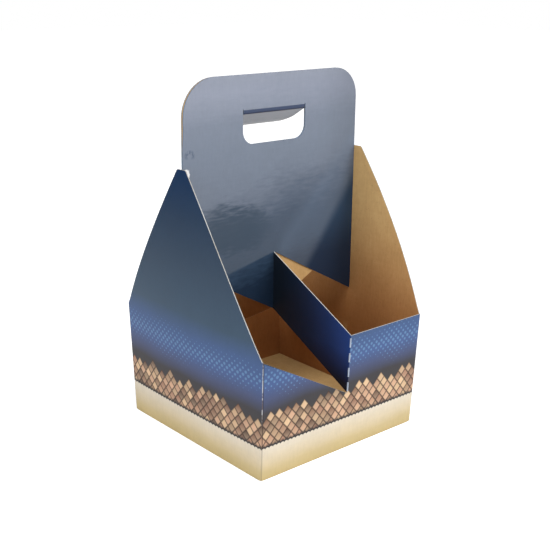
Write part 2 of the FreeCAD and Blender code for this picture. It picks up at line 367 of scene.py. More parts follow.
def round_hinges(mesh_data):
    """Rounds the folds between the walls and their straps."""
    folds = []
    for edge in mesh_data.edges:
        on_hinge = all(abs(abs(vert.co.x) - HINGE_X) < HINGE_SLACK for vert in edge.verts)
        upright = all(vert.co.z > ROUND_FOOT for vert in edge.verts)
        if on_hinge and upright and edge.calc_face_angle(0.0) > SHARP_FOLD:
            folds.append(edge)
    bmesh.ops.bevel(
        mesh_data,
        geom=folds,
        offset=HINGE_ROUND,
        affect="EDGES",
        segments=3,
        profile=0.5,
        material=-1,
    )


def make_walls(materials):
    """The folded blank: front wall, right gable, back wall, left gable and the two straps."""
    mesh_data = bmesh.new()
    for half_turn in (0, 1):
        before = set(mesh_data.faces)
        add_panel(mesh_data, "wall", wall_place, 1 + 2 * half_turn)
        hinge = trim_wall(mesh_data, before)
        before_gable = set(mesh_data.faces)
        add_panel(mesh_data, "gable", gable_place, 2 + 2 * half_turn)
        trim_gable(mesh_data, before_gable, half_turn)
        add_strap(mesh_data, hinge, half_turn)
        if half_turn:
            new = {vert for face in faces_since(mesh_data, before) for vert in face.verts}
            bmesh.ops.rotate(mesh_data, verts=list(new), matrix=Matrix.Rotation(math.pi, 3, "Z"))
    bmesh.ops.remove_doubles(mesh_data, verts=mesh_data.verts[:], dist=WELD)
    bmesh.ops.recalc_face_normals(mesh_data, faces=mesh_data.faces[:])
    round_hinges(mesh_data)
    give_thickness(mesh_data, BOARD)
    new_piece("folded_walls", mesh_data, materials)


def round_corners(mesh_data, verts, radius, segments):
    bmesh.ops.bevel(
        mesh_data,
        geom=verts,
        offset=radius,
        affect="VERTICES",
        segments=segments,
        profile=0.5,
        material=-1,
    )


def flat_outline(mesh_data, corners, rounds):
    """A flat face in the XZ plane through corners, with some of them rounded."""
    verts = [mesh_data.verts.new(Vector((x, 0, z))) for x, z in corners]
    mesh_data.faces.new(verts)
    for vert, radius in zip(verts, rounds):
        if radius:
            round_corners(mesh_data, [vert], radius, 10)


def grid_cuts(mesh_data, low, high, step):
    """Divides a flat XZ sheet along an even grid, so that it can bend."""
    for axis, (start, end) in enumerate(zip(low, high)):
        count = max(1, round((end - start) / step))
        for index in range(1, count):
            place = mix(start, end, index / count)
            point = (place, 0, 0) if axis == 0 else (0, 0, place)
            normal = (1, 0, 0) if axis == 0 else (0, 0, 1)
            cut(mesh_data, mesh_data.faces[:], point, normal)


def blank_uv(mesh_data):
    """Gives a flat sheet places on the map of the blank, as if it were part of the front wall."""
    uv = blank_layer(mesh_data)
    for face in mesh_data.faces:
        for loop in face.loops:
            spot = loop.vert.co
            loop[uv].uv = (FRONT_MIDDLE + spot.x / (2 * HALF_WIDTH), spot.z * MM)


def face_along(mesh_data, direction):
    """Turns a flat sheet's faces so that its outside looks along a direction."""
    mesh_data.normal_update()
    wrong = [face for face in mesh_data.faces if face.normal.dot(direction) < 0]
    bmesh.ops.reverse_faces(mesh_data, faces=wrong)


NOTCH = 0.9  # width of the small cut at each end of the flap's crease
NOTCH_RISE = 3.0
NOTCH_ROUND = 0.4
CREASE_RISE = 1.4
FOLD_START = HOLE_TOP + CREASE_RISE
LOW_ROUNDS = (0.6, 0.8)  # the handle's lower corners
LEFT_ROUND = 35.0
FRONT_TRIM = 1.2  # how much each layer's left edge is trimmed above the gable
BACK_TRIM = 0.2
TRIM_FOOT = 284.0
TRIM_TOP = 306.0
HANDLE_CELL = 9.0
FLAP_CELL = 6.0


def make_handle_layer(name, half_turn, materials):
    """One of the handle's two layers, with its zigzag lower edge and the hand hole."""
    mesh_data = bmesh.new()
    step_up = WALL_TOP + STRAP_RISE
    corners = [
        (-HANDLE_X, step_up),
        (0.0, WALL_TOP),
        (PLY, WALL_TOP),
        (PLY, step_up),
        (HANDLE_X, WALL_TOP),
        (HANDLE_X, HANDLE_TOP),
        (-HANDLE_X, HANDLE_TOP),
    ]
    top_rounds = [LEFT_ROUND, HANDLE_ROUND] if half_turn else [HANDLE_ROUND, LEFT_ROUND]
    flat_outline(mesh_data, corners, [LOW_ROUNDS[0], 0, 0, 0, LOW_ROUNDS[1], *top_rounds])
    top = FOLD_START
    inner = HOLE_HALF - NOTCH
    hole = [
        (-HOLE_HALF, HOLE_FOOT),
        (-HOLE_HALF, top + NOTCH_RISE),
        (-inner, top + NOTCH_RISE),
        (-inner, top),
        (inner, top),
        (inner, top + NOTCH_RISE),
        (HOLE_HALF, top + NOTCH_RISE),
        (HOLE_HALF, HOLE_FOOT),
    ]
    notch_rounds = [NOTCH_ROUND, NOTCH_ROUND, 0, 0, NOTCH_ROUND, NOTCH_ROUND]
    flat_outline(mesh_data, hole, [HOLE_ROUND, *notch_rounds, HOLE_ROUND])
    bmesh.ops.delete(mesh_data, geom=mesh_data.faces[:], context="FACES_ONLY")
    bmesh.ops.triangle_fill(mesh_data, use_beauty=True, edges=mesh_data.edges[:])
    grid_cuts(mesh_data, (-HANDLE_X, WALL_TOP), (HANDLE_X, HANDLE_TOP), HANDLE_CELL)
    blank_uv(mesh_data)
    face_along(mesh_data, Vector((0, -1, 0)))
    bmesh.ops.translate(mesh_data, verts=mesh_data.verts[:], vec=(0, -PLY, 0))
    side, trim = (1, BACK_TRIM) if half_turn else (-1, FRONT_TRIM)
    for vert in mesh_data.verts:
        share = min(max((vert.co.z - TRIM_FOOT) / (TRIM_TOP - TRIM_FOOT), 0), 1)
        outer = max((side * vert.co.x - HOLE_HALF) / (HANDLE_X - HOLE_HALF), 0)
        vert.co.x -= side * trim * share * outer
    if half_turn:
        bmesh.ops.rotate(
            mesh_data, verts=mesh_data.verts[:], matrix=Matrix.Rotation(math.pi, 3, "Z")
        )
    give_thickness(mesh_data, BOARD)
    new_piece(name, mesh_data, materials)


CREASE_ROUND = 2.5
CREASE_STEPS = 8


def make_finger_flap(materials):
    """Both layers' flap, pushed back about its crease at the top of the hand hole."""
    mesh_data = bmesh.new()
    half = HOLE_HALF - NOTCH
    low = HOLE_TOP - FLAP_REACH
    corners = [(-half, low), (half, low), (half, FOLD_START), (-half, FOLD_START)]
    flat_outline(mesh_data, corners, [HOLE_ROUND, HOLE_ROUND, 0, 0])
    for step in range(1, CREASE_STEPS + 1):
        height = FOLD_START - CREASE_ROUND * FLAP_TURN * step / CREASE_STEPS
        cut(mesh_data, mesh_data.faces[:], (0, 0, height), (0, 0, 1))
    grid_cuts(mesh_data, (-half, low), (half, FOLD_START), FLAP_CELL)
    blank_uv(mesh_data)
    face_along(mesh_data, Vector((0, -1, 0)))
    for vert in mesh_data.verts:
        run = FOLD_START - vert.co.z
        turn = min(run / CREASE_ROUND, FLAP_TURN)
        straight = max(run - CREASE_ROUND * FLAP_TURN, 0)
        vert.co.y = -PLY + CREASE_ROUND * (1 - math.cos(turn)) + straight * math.sin(turn)
        vert.co.z = FOLD_START - CREASE_ROUND * math.sin(turn) - straight * math.cos(turn)
    give_thickness(mesh_data, 2 * BOARD)
    for face in mesh_data.faces:
        if face.material_index == 1:
            face.material_index = 0
    new_piece("finger_flap", mesh_data, materials)


LAP_REACH = 70.0
LAP_LEVEL = 11.0
LAP_ROUND = 6.0
FLOOR_STEPS = 40
FLOOR_MAP = -0.2  # the floor's place on the map, below all print


def make_floor(materials):
    """The raised floor inside, with its two glued laps underneath."""
    mesh_data = bmesh.new()
    bmesh.ops.create_grid(
        mesh_data, x_segments=FLOOR_STEPS, y_segments=FLOOR_STEPS, size=1.0
    )
    x_reach = half_width(FLOOR_TOP) - PLY
    y_reach = half_depth(FLOOR_TOP) - PLY
    for vert in mesh_data.verts:
        vert.co = Vector((vert.co.x * x_reach, vert.co.y * y_reach, FLOOR_TOP - BOARD))
    for side in (-1, 1):
        edge = side * (half_depth(0) - RIM_INSET)
        reach = half_width(0) - RIM_INSET
        verts = [
            mesh_data.verts.new((-reach, edge, LAP_LEVEL)),
            mesh_data.verts.new((reach, edge, LAP_LEVEL)),
            mesh_data.verts.new((reach - LAP_REACH, edge - side * LAP_REACH, LAP_LEVEL)),
            mesh_data.verts.new((LAP_REACH - reach, edge - side * LAP_REACH, LAP_LEVEL)),
        ]
        mesh_data.faces.new(verts)
        round_corners(mesh_data, verts[2:], LAP_ROUND, 5)
    uv = blank_layer(mesh_data)
    for face in mesh_data.faces:
        for loop in face.loops:
            spot = loop.vert.co
            loop[uv].uv = (spot.x / (2 * HALF_WIDTH), FLOOR_MAP - spot.y * MM)
    face_along(mesh_data, Vector((0, 0, -1)))
    give_thickness(mesh_data, BOARD)
    new_piece("floor_and_laps", mesh_data, materials)


# Finishes


def tone(red, green, blue):
    """A colour given as screen values from 0 to 255, as the linear values that a shader takes."""
    values = [part / 255 for part in (red, green, blue)]
    linear = [v / 12.92 if v <= 0.04045 else ((v + 0.055) / 1.055) ** 2.4 for v in values]
    return (*linear, 1.0)


def set_inputs(tree, node, inputs):
    """Sets a node's inputs, each to a value or to another node's output."""
    for name, value in inputs.items():
        socket = node.inputs[name]
        if isinstance(value, bpy.types.NodeSocket):
            tree.links.new(value, socket)
        else:
            socket.default_value = value


def add_node(tree, kind, inputs=None, **settings):
    node = tree.nodes.new(kind)
    for name, value in settings.items():
        setattr(node, name, value)
    set_inputs(tree, node, inputs or {})
    return node


def maths(tree, operation, *values):
    inputs = dict(enumerate(values))
    return add_node(tree, "ShaderNodeMath", inputs, operation=operation).outputs[0]


def plus(tree, first, second):
    return maths(tree, "ADD", first, second)


def minus(tree, first, second):
    return maths(tree, "SUBTRACT", first, second)


def times(tree, first, second):
    return maths(tree, "MULTIPLY", first, second)


def scaled_plus(tree, value, factor, rest):
    """value * factor + rest"""
    return maths(tree, "MULTIPLY_ADD", value, factor, rest)


def remap(tree, value, low, high, to_low=0.0, to_high=1.0, smooth=False):
    kind = "SMOOTHSTEP" if smooth else "LINEAR"
    inputs = {"Value": value, "From Min": low, "From Max": high}
    inputs.update({"To Min": to_low, "To Max": to_high})
    node = add_node(tree, "ShaderNodeMapRange", inputs, interpolation_type=kind)
    return node.outputs["Result"]


def fade(tree, value, near, far, strength=1.0, smooth=False):
    """Strength up to near, then down to nothing at far."""
    return remap(tree, value, near, far, strength, 0.0, smooth)


def ramp(tree, value, stops):
    node = add_node(tree, "ShaderNodeValToRGB", {"Fac": value})
    elements = node.color_ramp.elements
    while len(elements) < len(stops):
        elements.new(0.5)
    for element, (place, colour) in zip(elements, stops):
        element.position = place
        element.color = colour
    return node.outputs["Color"]


def blend(tree, share, first, second, kind="MIX"):
    """Mixes two colours, which are the node's inputs 6 and 7."""
    node = add_node(tree, "ShaderNodeMix", data_type="RGBA", blend_type=kind)
    set_inputs(tree, node, {0: share, 6: first, 7: second})
    return node.outputs[2]


def dimmed(tree, colour, light):
    """A colour times a grey."""
    inputs = {"Red": light, "Green": light, "Blue": light}
    grey = add_node(tree, "ShaderNodeCombineColor", inputs).outputs["Color"]
    return blend(tree, 1.0, colour, grey, "MULTIPLY")


def split(tree, vector):
    parts = add_node(tree, "ShaderNodeSeparateXYZ", {"Vector": vector}).outputs
    return parts["X"], parts["Y"], parts["Z"]


def join(tree, x, y):
    return add_node(tree, "ShaderNodeCombineXYZ", {"X": x, "Y": y}).outputs["Vector"]


def length(tree, vector):
    node = add_node(tree, "ShaderNodeVectorMath", {0: vector}, operation="LENGTH")
    return node.outputs["Value"]


def noise(tree, vector, scale, detail=2.0, roughness=0.5, stretch=None):
    if stretch:
        mapped = add_node(tree, "ShaderNodeMapping", {"Vector": vector, "Scale": stretch})
        vector = mapped.outputs["Vector"]
    inputs = {"Vector": vector, "Scale": scale, "Detail": detail, "Roughness": roughness}
    return add_node(tree, "ShaderNodeTexNoise", inputs).outputs["Fac"]


def new_group(name, inputs, outputs):
    tree = bpy.data.node_groups.new(name, "ShaderNodeTree")
    for label, kind in inputs:
        tree.interface.new_socket(label, in_out="INPUT", socket_type=kind)
    for label, kind in outputs:
        tree.interface.new_socket(label, in_out="OUTPUT", socket_type=kind)
    given = tree.nodes.new("NodeGroupInput").outputs
    wanted = tree.nodes.new("NodeGroupOutput").inputs
    return tree, given, wanted


def use_group(tree, group, inputs):
    return add_node(tree, "ShaderNodeGroup", inputs, node_tree=group).outputs


def make_relief_group():
    """The board's own relief: soft waves from handling and the fibres of the paper."""
    sockets = [
        ("Vector", "NodeSocketVector"),
        ("Waves", "NodeSocketFloat"),
        ("Fibres", "NodeSocketFloat"),
    ]
    tree, given, wanted = new_group("board_relief", sockets, [("Height", "NodeSocketFloat")])
    slow = noise(tree, given["Vector"], 14.0, 1.0)
    streaks = noise(tree, given["Vector"], 60.0, 2.0, 0.5, (0.35, 0.35, 2.2))
    waves = scaled_plus(tree, streaks, 0.16, slow)
    fine = noise(tree, given["Vector"], 1400.0, 3.0, 0.6, (1.0, 1.0, 0.35))
    rise = times(tree, waves, given["Waves"])
    height = scaled_plus(tree, fine, given["Fibres"], rise)
    tree.links.new(height, wanted["Height"])
    return tree


def make_fibre_group():
    """Uneven pulp: soft clouds, short fibres and dark specks, as a light and dark mask around 0.5."""
    sockets = [("Vector", "NodeSocketVector")]
    outputs = [("Mottle", "NodeSocketFloat"), ("Specks", "NodeSocketFloat")]
    tree, given, wanted = new_group("paper_fibres", sockets, outputs)
    clouds = noise(tree, given["Vector"], 22.0, 4.0, 0.6)
    hairs = noise(tree, given["Vector"], 420.0, 4.0, 0.7, (1.0, 1.0, 0.25))
    across = noise(tree, given["Vector"], 300.0, 3.0, 0.7, (0.3, 0.3, 1.0))
    mottle = scaled_plus(tree, hairs, 0.5, times(tree, clouds, 0.5))
    mottle = scaled_plus(tree, across, 0.25, mottle)
    tree.links.new(minus(tree, mottle, 0.125), wanted["Mottle"])
    dots = noise(tree, given["Vector"], 700.0, 1.0, 0.5)
    tree.links.new(remap(tree, dots, 0.70, 0.76), wanted["Specks"])
    return tree


PANEL = 2 * HALF_WIDTH * MM
HINGE_MIDDLE = 90.0
HINGE_U = FRONT_MIDDLE + HINGE_X / (2 * half_width(HINGE_MIDDLE))

# Wear and painted shade on the folds, in metres. A pair of values is where a fade starts and ends.
DASH_START = 0.0607
DASH_END = 0.1165
DASH_PITCH = 0.01507
DASH_SHARE = 0.62
DASH_EDGE = (0.0011, 0.0014)
DASH_WOBBLE = 0.0006
LINE_EDGE = (0.0002, 0.0005)
WEAR_AND_SHADE_EDGE = (0.0003, 0.0007)
SHADE_OFFSET = 0.0009
SHADE_RISE = (0.032, 0.036)
CRACK_RISE = (0.056, 0.068)


def make_fold_group():
    """Masks on the blank's upright folds: wear on each corner with a painted shade line just beside it,
    and a dashed crease on each hinge.
    """
    sockets = [("Blank", "NodeSocketVector"), ("Object", "NodeSocketVector")]
    outputs = [
        ("Line", "NodeSocketFloat"),
        ("Shade", "NodeSocketFloat"),
        ("Cracks", "NodeSocketFloat"),
        ("Dashes", "NodeSocketFloat"),
    ]
    tree, given, wanted = new_group("fold_wear_and_painted_shade", sockets, outputs)
    across, up, _ = split(tree, given["Blank"])
    nearest = maths(tree, "ROUND", across)
    away = times(tree, minus(tree, across, nearest), PANEL)
    size = maths(tree, "ABSOLUTE", away)
    tree.links.new(fade(tree, size, *LINE_EDGE), wanted["Line"])
    # Painted shade: a dark line just beside each corner fold, weaker in the cream foot
    right = maths(tree, "ABSOLUTE", minus(tree, away, SHADE_OFFSET))
    beside = fade(tree, right, *WEAR_AND_SHADE_EDGE)
    beside = times(tree, beside, remap(tree, up, *SHADE_RISE, 0.45, 1.0))
    tree.links.new(beside, wanted["Shade"])
    ragged = noise(tree, given["Object"], 330.0, 4.0, 0.7, (1.0, 1.0, 0.6))
    patchy = noise(tree, given["Object"], 45.0, 2.0, 0.5)
    ragged = scaled_plus(tree, patchy, 0.5, times(tree, ragged, 0.7))
    torn = remap(tree, ragged, 0.62, 0.68)
    close = fade(tree, size, *WEAR_AND_SHADE_EDGE)
    high = remap(tree, up, *CRACK_RISE)
    torn = times(tree, times(tree, torn, close), high)
    tree.links.new(torn, wanted["Cracks"])
    half = maths(tree, "MODULO", across, 2.0)
    off = times(tree, minus(tree, half, HINGE_U), PANEL)
    off = maths(tree, "ABSOLUTE", off)
    step = maths(tree, "DIVIDE", minus(tree, up, DASH_START), DASH_PITCH)
    inside = maths(tree, "LESS_THAN", maths(tree, "FRACT", step), DASH_SHARE)
    above = maths(tree, "GREATER_THAN", up, DASH_START - 0.0005)
    below = maths(tree, "LESS_THAN", up, DASH_END)
    dashes = times(tree, inside, times(tree, above, below))
    wobble = noise(tree, given["Object"], 500.0, 2.0, 0.6)
    width = fade(tree, scaled_plus(tree, wobble, DASH_WOBBLE, off), *DASH_EDGE)
    tree.links.new(times(tree, dashes, width), wanted["Dashes"])
    return tree


# The design's places and sizes in metres, and how often its motifs repeat across a panel
FIELD_SPAN = 0.3
BAND_LOW = 0.0345
BAND_TOP = 0.0585
LOZENGES = 20
LOZENGE_HEIGHT = PANEL / LOZENGES * 1.15
DOTS = 30
DOTS_MIDDLE = 0.101
DOT_SIZE = 0.36
STRAP_SPAN = 0.105
STRAP_MARGIN = 0.0006
# Painted shade: the heights over which the straps turn near black low in the cells
STRAP_SHADE_RISE = (0.068, 0.102)
SCALLOPS = 44
SCALLOP_LOW = 0.0316
SCALLOP_RISE = 0.0036
SCALLOP_SHADOW = (0.0014, 0.0042)
SCALLOP_EDGE = (-0.0002, 0.0002)
FOOT_SPAN = 0.04
PRINT_EDGE = (-0.0012, 0.0004)
GLOSS_RISE = (0.10, 0.24)
CUT_RISE = (WALL_TOP - CUT_FOOT) / (HALF_WIDTH + END_FLARE + HINGE_X)


def make_artwork_group():
    """The printed design on the blank: colour fields, a lozenge mosaic and a scalloped foot, with painted
    shade on the straps.
    """
    sockets = [("Blank", "NodeSocketVector")]
    outputs = [("Color", "NodeSocketColor"), ("Gloss", "NodeSocketFloat")]
    tree, given, wanted = new_group("printed_design_and_strap_shade", sockets, outputs)
    across, up, _ = split(tree, given["Blank"])
    soft = noise(tree, given["Blank"], 2.2, 2.0, 0.5, (1.0, 9.0, 1.0))
    drift = scaled_plus(tree, minus(tree, soft, 0.5), 0.010, up)
    height = maths(tree, "DIVIDE", drift, FIELD_SPAN)
    fields = ramp(
        tree,
        height,
        [
            (0.060 / FIELD_SPAN, tone(64, 61, 62)),
            (0.070 / FIELD_SPAN, tone(64, 62, 66)),
            (0.083 / FIELD_SPAN, tone(74, 84, 118)),
            (0.096 / FIELD_SPAN, tone(74, 96, 144)),
            (0.112 / FIELD_SPAN, tone(70, 94, 138)),
            (0.134 / FIELD_SPAN, tone(62, 82, 102)),
            (0.180 / FIELD_SPAN, tone(54, 71, 90)),
            (0.225 / FIELD_SPAN, tone(38, 57, 80)),
            (0.272 / FIELD_SPAN, tone(8, 42, 78)),
        ],
    )

    # Lozenge mosaic
    p = times(tree, across, LOZENGES)
    q = maths(tree, "DIVIDE", minus(tree, up, BAND_LOW), LOZENGE_HEIGHT)
    first = plus(tree, p, q)
    second = minus(tree, p, q)
    first_cell = maths(tree, "FLOOR", first)
    second_cell = maths(tree, "FLOOR", second)
    row = minus(tree, first_cell, second_cell)
    girth = 4 * LOZENGES
    positive = plus(tree, first_cell, 1000 * girth)
    wrapped = maths(tree, "MODULO", positive, girth)
    cell = join(tree, wrapped, row)
    chance = add_node(tree, "ShaderNodeTexWhiteNoise", {"Vector": cell}, noise_dimensions="2D")
    pick = chance.outputs["Value"]
    tints = ramp(
        tree,
        pick,
        [
            (0.0, tone(62, 40, 32)),
            (0.22, tone(158, 112, 90)),
            (0.42, tone(214, 170, 138)),
            (0.60, tone(112, 74, 56)),
            (0.80, tone(232, 196, 154)),
            (1.0, tone(76, 50, 40)),
        ],
    )
    a = maths(tree, "FRACT", first)
    b = maths(tree, "FRACT", second)
    near_a = maths(tree, "MINIMUM", a, minus(tree, 1.0, a))
    near_b = maths(tree, "MINIMUM", b, minus(tree, 1.0, b))
    rim = maths(tree, "MINIMUM", near_a, near_b)
    shade = fade(tree, rim, 0.0, 0.17, 0.9, smooth=True)
    slant = remap(tree, minus(tree, b, a), -1.0, 1.0, 0.0, 0.42)
    tints = blend(tree, slant, tints, tone(232, 202, 170))
    low_side = plus(tree, a, minus(tree, 1.0, b))
    low_side = remap(tree, low_side, 0.5, 0.0, 0.0, 0.5)
    tints = blend(tree, low_side, tints, tone(92, 58, 44))
    tints = blend(tree, shade, tints, tone(58, 42, 38))
    rows = (BAND_TOP - BAND_LOW) / LOZENGE_HEIGHT * 2
    limit = plus(tree, rows, maths(tree, "GREATER_THAN", pick, 0.55))
    in_band = maths(tree, "LESS_THAN", row, limit)
    in_band = times(tree, in_band, maths(tree, "GREATER_THAN", up, BAND_LOW))
    colour = blend(tree, in_band, fields, tints)

    # Halftone band in pale blue, largest dots along its middle
    cluster = noise(tree, given["Blank"], 3.1, 1.0, 0.5, (1.0, 0.0, 0.0))
    from_middle = maths(tree, "ABSOLUTE", minus(tree, up, DOTS_MIDDLE))
    reach = remap(tree, cluster, 0.35, 0.65, 0.010, 0.030)
    from_middle = maths(tree, "DIVIDE", from_middle, reach)
    dot_size = scaled_plus(tree, from_middle, -DOT_SIZE, DOT_SIZE)
    dots_x = times(tree, across, DOTS)
    dots_y = maths(tree, "DIVIDE", up, PANEL / DOTS)
    d1 = maths(tree, "FRACT", plus(tree, dots_x, dots_y))
    d2 = maths(tree, "FRACT", minus(tree, dots_x, dots_y))
    local = join(tree, minus(tree, d1, 0.5), minus(tree, d2, 0.5))
    far = length(tree, local)
    dot = fade(tree, minus(tree, far, dot_size), -0.04, 0.02)
    colour = blend(tree, times(tree, dot, 0.42), colour, tone(122, 168, 208))

    # Painted shade on the straps: a darker copy of the print, near black low down in the cells
    panel = maths(tree, "MODULO", across, 2.0)
    run = times(tree, minus(tree, HINGE_U, panel), PANEL)
    rise = scaled_plus(tree, run, CUT_RISE, CUT_FOOT * MM)
    on_strap = maths(tree, "GREATER_THAN", up, plus(tree, rise, STRAP_MARGIN))
    on_strap = times(tree, on_strap, maths(tree, "GREATER_THAN", panel, 1.0))
    on_strap = times(tree, on_strap, maths(tree, "GREATER_THAN", run, 0.0))
    strap = ramp(
        tree,
        maths(tree, "DIVIDE", run, STRAP_SPAN),
        [
            (0.0, tone(35, 62, 122)),
            (0.25, tone(31, 54, 102)),
            (0.45, tone(29, 48, 84)),
            (0.65, tone(27, 43, 68)),
            (0.85, tone(27, 38, 53)),
            (1.0, tone(28, 40, 54)),
        ],
    )
    # Painted shade: near black low down on the straps
    strap = blend(tree, fade(tree, up, *STRAP_SHADE_RISE, 0.92), strap, tone(17, 18, 22))
    colour = blend(tree, on_strap, colour, strap)

    # Cream foot with its scalloped edge
    wave = times(tree, across, SCALLOPS)
    bump = maths(tree, "ABSOLUTE", minus(tree, maths(tree, "FRACT", wave), 0.5))
    bump = maths(tree, "SQRT", minus(tree, 0.25, maths(tree, "POWER", bump, 2.0)))
    edge = scaled_plus(tree, bump, SCALLOP_RISE, SCALLOP_LOW)
    gap = minus(tree, up, edge)
    colour = blend(tree, fade(tree, gap, *SCALLOP_SHADOW), colour, tone(58, 54, 54))
    glow = noise(tree, given["Blank"], 3.0, 2.0, 0.5, (1.0, 14.0, 1.0))
    foot_height = scaled_plus(tree, minus(tree, glow, 0.5), 0.008, up)
    foot = ramp(
        tree,
        maths(tree, "DIVIDE", foot_height, FOOT_SPAN),
        [
            (0.0, tone(196, 174, 120)),
            (0.25, tone(206, 186, 140)),
            (0.5, tone(218, 202, 171)),
            (0.75, tone(225, 213, 193)),
            (1.0, tone(229, 219, 202)),
        ],
    )
    colour = blend(tree, fade(tree, gap, *SCALLOP_EDGE), colour, foot)
    colour = blend(tree, fade(tree, up, *PRINT_EDGE), colour, tone(196, 182, 158))
    tree.links.new(colour, wanted["Color"])
    tree.links.new(remap(tree, up, *GLOSS_RISE, 0.35, 0.04), wanted["Gloss"])
    return tree


RELIEF = make_relief_group()
FIBRES = make_fibre_group()
FOLDS = make_fold_group()
ARTWORK_AND_STRAP_SHADE = make_artwork_group()


def start_material(name):
    material = bpy.data.materials.new(name)
    material.use_nodes = True
    tree = material.node_tree
    shader = tree.nodes["Principled BSDF"]
    spots = add_node(tree, "ShaderNodeTexCoord").outputs["Object"]
    return material, tree, shader, spots


def add_relief(tree, shader, spots, waves, fibres):
    inputs = {"Vector": spots, "Waves": waves, "Fibres": fibres}
    height = use_group(tree, RELIEF, inputs)["Height"]
    inputs = {"Height": height, "Strength": 1.0, "Distance": 1.0}
    bump = add_node(tree, "ShaderNodeBump", inputs)
    tree.links.new(bump.outputs["Normal"], shader.inputs["Normal"])


def add_folds(tree, colour, spots, blank):
    """Paints the worn folds over a print, with painted shade beside each corner fold."""
    wear = use_group(tree, FOLDS, {"Blank": blank, "Object": spots})
    # Painted shade beside each corner fold
    colour = blend(tree, times(tree, wear["Shade"], 0.75), colour, tone(44, 34, 32))
    colour = blend(tree, times(tree, wear["Line"], 0.45), colour, tone(138, 118, 104))
    colour = blend(tree, wear["Cracks"], colour, tone(186, 188, 192))
    return blend(tree, wear["Dashes"], colour, tone(168, 180, 198))


def make_wall_print_and_shade(name):
    """The walls' print, with its worn folds, and painted shade beside the corner folds and on the straps.
    """
    material, tree, shader, spots = start_material(name)
    blank = add_node(tree, "ShaderNodeUVMap", uv_map="blank").outputs["UV"]
    design = use_group(tree, ARTWORK_AND_STRAP_SHADE, {"Blank": blank})
    pulp = use_group(tree, FIBRES, {"Vector": spots})
    light = remap(tree, pulp["Mottle"], 0.35, 0.65, 0.94, 1.05)
    colour = dimmed(tree, design["Color"], light)
    colour = add_folds(tree, colour, spots, blank)
    inputs = {
        "Base Color": colour,
        "Roughness": remap(tree, pulp["Mottle"], 0.3, 0.7, 0.37, 0.50),
        "Specular IOR Level": 0.1,
        "Coat Weight": design["Gloss"],
        "Coat Roughness": 0.14,
        "Coat IOR": 1.5,
    }
    set_inputs(tree, shader, inputs)
    add_relief(tree, shader, spots, 0.0003, 0.000004)
    return material


# The handle's zones and marks in metres, across from the middle and up
LEVELS = (0.1, 0.36)
CALM_RISE = (0.25, 0.30)
# Painted shade: the handle darkens towards its right end, beside the right gable
PAINTED_SHADE_SIDE = (0.05, 0.115)
# Painted reflection: a dark soft patch on the handle's left
REFLECTED_PATCH_PLACE = (-0.050, 0.206)
REFLECTED_PATCH_SIZE = (0.056, 0.028)
REFLECTED_PATCH_TINT = (0.005, 0.030, 0.066, 1)
# Where the coat is weaker, a pale painted reflection of the surroundings lightens the colour
DULL_REFLECTION_PLACE = 0.162
PAINTED_REFLECTION_TINT = (0.40, 0.47, 0.58, 1)
# Painted reflection: the dark corner at the lower right stands for the right gable's reflection
REFLECTION_CORNER_PLACE = (0.108, 0.246)
REFLECTION_CORNER_SLOPE = 1.33
REFLECTION_LOW_TINT = (0.008, 0.021, 0.050, 1)
REFLECTION_HIGH_TINT = (0.018, 0.045, 0.092, 1)
SCUFF_PLACE = (-0.1005, 0.283)
SCUFF_RADIUS = 0.0062
SCUFF_EDGE = (0.0006, 0.0024)
BARED_HEIGHT = 0.2675
BARED_SIDE = (-0.0995, -0.0985)
BARED_REACH = (0.0052, 0.0062)
# Painted shade along the crease above the hand hole: its half width and its ends
CREASE_SHADE_EDGE = (0.0018, 0.0024)
CREASE_SHADE_END = (0.0386, 0.0392)
RAGGED = 0.004


